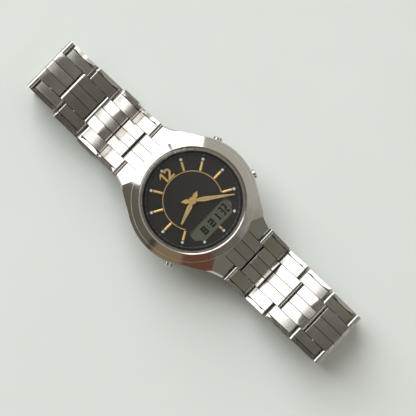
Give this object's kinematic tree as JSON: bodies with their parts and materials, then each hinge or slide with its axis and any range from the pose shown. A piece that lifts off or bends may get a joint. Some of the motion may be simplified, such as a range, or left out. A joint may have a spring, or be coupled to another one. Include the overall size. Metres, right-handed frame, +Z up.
{
  "type": "analogue and digital wristwatch",
  "caption": "Round steel wristwatch with hands, a liquid crystal display and three pushers, on a linked bracelet with a folding clasp.",
  "frame": {"origin": "on the surface that the watch lies on, under the dial's axis", "axes": "+Z up out of the dial, +Y to 12 o'clock along the bracelet, +X to 3 o'clock"},
  "size_m": [0.0402, 0.1236, 0.016],
  "materials": {
    "link_steel": "brushed faces, polished strips and bevels",
    "case_steel": "brushed lugs with polished flanks",
    "bezel_steel": "polished",
    "back_steel": "satin",
    "clasp_steel": "brushed, polished walls",
    "blade_steel": "fine brushed",
    "button_steel": "polished",
    "small_steel": "bright turned steel",
    "crystal_glass": "clear, flat, lightly domed",
    "seal_black": "black",
    "dial_black": "near black with a fine satin grain",
    "flange_black": "dark with pale ticks",
    "solar_dark": "dark",
    "gold": "gold plated, bright",
    "lume": "pale luminous paint",
    "lcd_glass": "olive grey display",
    "movement_black": "moulded",
    "plate_brass": "fine grained",
    "board_green": "coated board",
    "cell_steel": "satin",
    "copper": "enamelled copper winding"
  },
  "bodies": {
    "clasp": {"clasp_cover": "clasp_steel", "clasp_pins": "small_steel"},
    "outer_blade": {"clasp_outer_blade": "blade_steel"},
    "inner_blade": {"clasp_inner_blade": "blade_steel"},
    "clasp_button_right": {"clasp_button_right": "button_steel"},
    "clasp_button_left": {"clasp_button_left": "button_steel"},
    "row_12_6": {"link_12_6": "link_steel"},
    "row_12_5": {"link_12_5": "link_steel"},
    "row_12_4": {"link_12_4": "link_steel"},
    "row_12_3": {"link_12_3": "link_steel"},
    "row_12_2": {"link_12_2": "link_steel"},
    "row_12_1": {"link_12_1": "link_steel"},
    "head": {"case_body": "case_steel", "bezel_ring": "bezel_steel", "crystal": "crystal_glass", "crystal_gasket": "seal_black", "flange_ring": "flange_black", "dial": "dial_black", "hour_markers": "gold", "hour_dots": "lume", "dial_arc": "gold", "numeral_12": "gold", "lcd_panel": "lcd_glass", "solar_cell": "solar_dark", "movement_holder": "movement_black", "main_plate": "movement_black", "train_bridge": "plate_brass", "circuit_board": "board_green", "battery": "cell_steel", "battery_clip": "small_steel", "stator": "small_steel", "motor_coil": "copper", "antenna": "copper", "case_back": "back_steel", "back_gasket": "seal_black", "back_screws": "small_steel", "end_piece_12": "link_steel", "end_piece_6": "link_steel", "lug_spring_bars": "small_steel", "pusher_seals": "seal_black"},
    "row_6_1": {"link_6_1": "link_steel"},
    "row_6_2": {"link_6_2": "link_steel"},
    "row_6_3": {"link_6_3": "link_steel"},
    "row_6_4": {"link_6_4": "link_steel"},
    "row_6_5": {"link_6_5": "link_steel"},
    "row_6_6": {"link_6_6": "link_steel"},
    "row_6_7": {"link_6_7": "link_steel"},
    "row_6_8": {"link_6_8": "link_steel"},
    "hour": {"hour_hand": "gold", "hour_wheel": "plate_brass"},
    "minute": {"minute_hand": "gold", "centre_wheel": "plate_brass"},
    "minute_work": {"minute_wheel": "plate_brass"},
    "second_wheel": {"second_wheel": "plate_brass"},
    "rotor": {"rotor": "small_steel"},
    "pusher_2": {"pusher_2": "button_steel"},
    "pusher_4": {"pusher_4": "button_steel"},
    "pusher_8": {"pusher_8": "button_steel"}
  },
  "joints": [
    {"name": "bracelet_open", "type": "hinge", "parent": "clasp", "child": "row_12_6", "pos_m": [0, 0.05059, 0.0012], "axis": [1, 0, 0], "range_deg": [0, 56.1]},
    {"name": "link_12_5_hinge", "type": "hinge", "parent": "row_12_6", "child": "row_12_5", "pos_m": [0, 0.06059, 0.0012], "axis": [1, 0, 0], "range_deg": [-82.3, 0]},
    {"name": "link_12_4_hinge", "type": "hinge", "parent": "row_12_5", "child": "row_12_4", "pos_m": [0, 0.06059, 0.0112], "axis": [1, 0, 0], "range_deg": [-29.79, 0]},
    {"name": "link_12_3_hinge", "type": "hinge", "parent": "row_12_4", "child": "row_12_3", "pos_m": [0, 0.0506, 0.01163], "axis": [1, 0, 0], "range_deg": [0, 6.45]},
    {"name": "link_12_2_hinge", "type": "hinge", "parent": "row_12_3", "child": "row_12_2", "pos_m": [0, 0.04103, 0.0087], "axis": [1, 0, 0], "range_deg": [0, 5.95]},
    {"name": "link_12_1_hinge", "type": "hinge", "parent": "row_12_2", "child": "row_12_1", "pos_m": [0, 0.03229, 0.00385], "axis": [1, 0, 0], "range_deg": [0, 29.34]},
    {"name": "lug_12_hinge", "type": "hinge", "parent": "row_12_1", "child": "head", "pos_m": [0, 0.0239, 0.0093], "axis": [1, 0, 0], "range_deg": [0, 14.25]},
    {"name": "lug_6_hinge", "type": "hinge", "parent": "head", "child": "row_6_1", "pos_m": [0, -0.0239, 0.0093], "axis": [1, 0, 0], "range_deg": [-21.54, 0]},
    {"name": "link_6_2_hinge", "type": "hinge", "parent": "row_6_1", "child": "row_6_2", "pos_m": [0, -0.03229, 0.00385], "axis": [1, 0, 0], "range_deg": [0, 40.9]},
    {"name": "link_6_3_hinge", "type": "hinge", "parent": "row_6_2", "child": "row_6_3", "pos_m": [0, -0.04103, 0.0087], "axis": [1, 0, 0], "range_deg": [-6, 0]},
    {"name": "link_6_4_hinge", "type": "hinge", "parent": "row_6_3", "child": "row_6_4", "pos_m": [0, -0.0506, 0.01163], "axis": [1, 0, 0], "range_deg": [0, 18.46]},
    {"name": "link_6_5_hinge", "type": "hinge", "parent": "row_6_4", "child": "row_6_5", "pos_m": [0, -0.06059, 0.0112], "axis": [1, 0, 0], "range_deg": [-6.96, 0]},
    {"name": "link_6_6_hinge", "type": "hinge", "parent": "row_6_5", "child": "row_6_6", "pos_m": [0, -0.06059, 0.0012], "axis": [1, 0, 0], "range_deg": [-88.58, 0]},
    {"name": "link_6_7_hinge", "type": "hinge", "parent": "row_6_6", "child": "row_6_7", "pos_m": [0, -0.05059, 0.0012], "axis": [1, 0, 0], "range_deg": [0, 22.16]},
    {"name": "link_6_8_hinge", "type": "hinge", "parent": "row_6_7", "child": "row_6_8", "pos_m": [0, -0.04059, 0.0012], "axis": [1, 0, 0], "range_deg": [0, 41.96]},
    {"name": "outer_blade_hinge", "type": "hinge", "parent": "clasp", "child": "outer_blade", "pos_m": [0, 0.01939, 0.0012], "axis": [1, 0, 0], "range_deg": [-9.99, 0]},
    {"name": "inner_blade_hinge", "type": "hinge", "parent": "outer_blade", "child": "inner_blade", "pos_m": [0, -0.0056, 0.0012], "axis": [1, 0, 0], "range_deg": [-6, 0]},
    {"name": "minute_hand_turn", "type": "hinge", "parent": "head", "child": "minute", "pos_m": [0, 0, 0.0138], "axis": [0, 0, -1], "continuous": true},
    {"name": "hour_hand_turn", "type": "hinge", "parent": "head", "child": "hour", "pos_m": [0, 0, 0.0138], "axis": [0, 0, -1], "continuous": true},
    {"name": "minute_wheel_turn", "type": "hinge", "parent": "head", "child": "minute_work", "pos_m": [0.00197, 0.00138, 0.0138], "axis": [0, 0, -1], "continuous": true},
    {"name": "second_wheel_turn", "type": "hinge", "parent": "head", "child": "second_wheel", "pos_m": [-0.00415, -0.00151, 0.0138], "axis": [0, 0, -1], "continuous": true},
    {"name": "rotor_turn", "type": "hinge", "parent": "head", "child": "rotor", "pos_m": [-0.00535, -0.00481, 0.0138], "axis": [0, 0, -1], "continuous": true},
    {"name": "pusher_2_press", "type": "slide", "parent": "head", "child": "pusher_2", "axis": [-0.9272, -0.3746, 0], "range_m": [0, 0.0006], "stiffness_N_per_m": 1500},
    {"name": "pusher_4_press", "type": "slide", "parent": "head", "child": "pusher_4", "axis": [-0.9272, 0.3746, 0], "range_m": [0, 0.0006], "stiffness_N_per_m": 1500},
    {"name": "pusher_8_press", "type": "slide", "parent": "head", "child": "pusher_8", "axis": [0.9272, 0.3746, 0], "range_m": [0, 0.0006], "stiffness_N_per_m": 1500},
    {"name": "clasp_button_right_press", "type": "slide", "parent": "clasp", "child": "clasp_button_right", "axis": [-1, 0, 0], "range_m": [0, 0.0006], "stiffness_N_per_m": 1500},
    {"name": "clasp_button_left_press", "type": "slide", "parent": "clasp", "child": "clasp_button_left", "axis": [1, 0, 0], "range_m": [0, 0.0006], "stiffness_N_per_m": 1500}
  ],
  "couplings": [
    {"joint": "link_12_5_hinge", "follows": "bracelet_open", "ratio": -1.467},
    {"joint": "link_12_4_hinge", "follows": "bracelet_open", "ratio": -0.531},
    {"joint": "link_12_3_hinge", "follows": "bracelet_open", "ratio": 0.115},
    {"joint": "link_12_2_hinge", "follows": "bracelet_open", "ratio": 0.106},
    {"joint": "link_12_1_hinge", "follows": "bracelet_open", "ratio": 0.523},
    {"joint": "lug_12_hinge", "follows": "bracelet_open", "ratio": 0.254},
    {"joint": "lug_6_hinge", "follows": "bracelet_open", "ratio": -0.384},
    {"joint": "link_6_2_hinge", "follows": "bracelet_open", "ratio": 0.729},
    {"joint": "link_6_3_hinge", "follows": "bracelet_open", "ratio": -0.107},
    {"joint": "link_6_4_hinge", "follows": "bracelet_open", "ratio": 0.329},
    {"joint": "link_6_5_hinge", "follows": "bracelet_open", "ratio": -0.124},
    {"joint": "link_6_6_hinge", "follows": "bracelet_open", "ratio": -1.579},
    {"joint": "link_6_7_hinge", "follows": "bracelet_open", "ratio": 0.395},
    {"joint": "link_6_8_hinge", "follows": "bracelet_open", "ratio": 0.748},
    {"joint": "outer_blade_hinge", "follows": "bracelet_open", "ratio": -0.178},
    {"joint": "inner_blade_hinge", "follows": "bracelet_open", "ratio": -0.107},
    {"joint": "hour_hand_turn", "follows": "minute_hand_turn", "ratio": 0.083333},
    {"joint": "minute_wheel_turn", "follows": "minute_hand_turn", "ratio": -0.33333},
    {"joint": "second_wheel_turn", "follows": "minute_hand_turn", "ratio": -7.5},
    {"joint": "rotor_turn", "follows": "minute_hand_turn", "ratio": 60}
  ]
}
